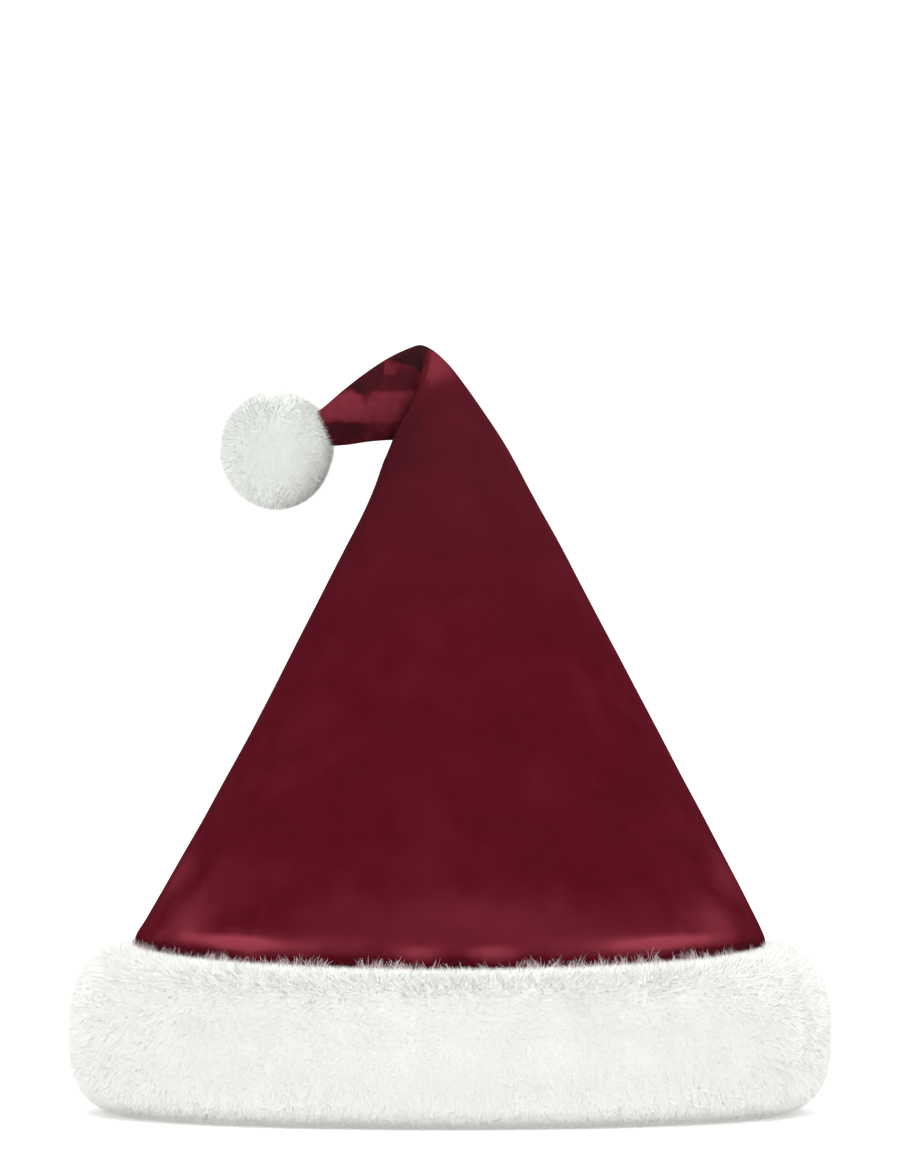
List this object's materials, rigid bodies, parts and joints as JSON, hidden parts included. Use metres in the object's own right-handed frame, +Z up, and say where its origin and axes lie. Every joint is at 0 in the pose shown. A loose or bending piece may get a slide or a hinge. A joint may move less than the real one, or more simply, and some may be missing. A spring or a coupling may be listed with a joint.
{
  "type": "santa hat",
  "caption": "Red velvet santa hat that stands on a deep white fur brim, its tip tucked in and hanging to one side with a white pompom.",
  "frame": {"origin": "middle of the flat ring under the brim, at the height of the surface the hat rests on", "axes": "+Z up through the cone; -Y is the front shown in the picture; the tip and its pompom hang towards -X"},
  "size_m": [0.2437, 0.2435, 0.243],
  "materials": {
    "velvet": "short pile with a soft sheen",
    "brim_fur": "deep soft pile",
    "pompom_fur": "deep soft pile"
  },
  "bodies": {
    "root": {"crown": "velvet", "brim": "brim_fur", "pompom": "pompom_fur"}
  },
  "joints": []
}
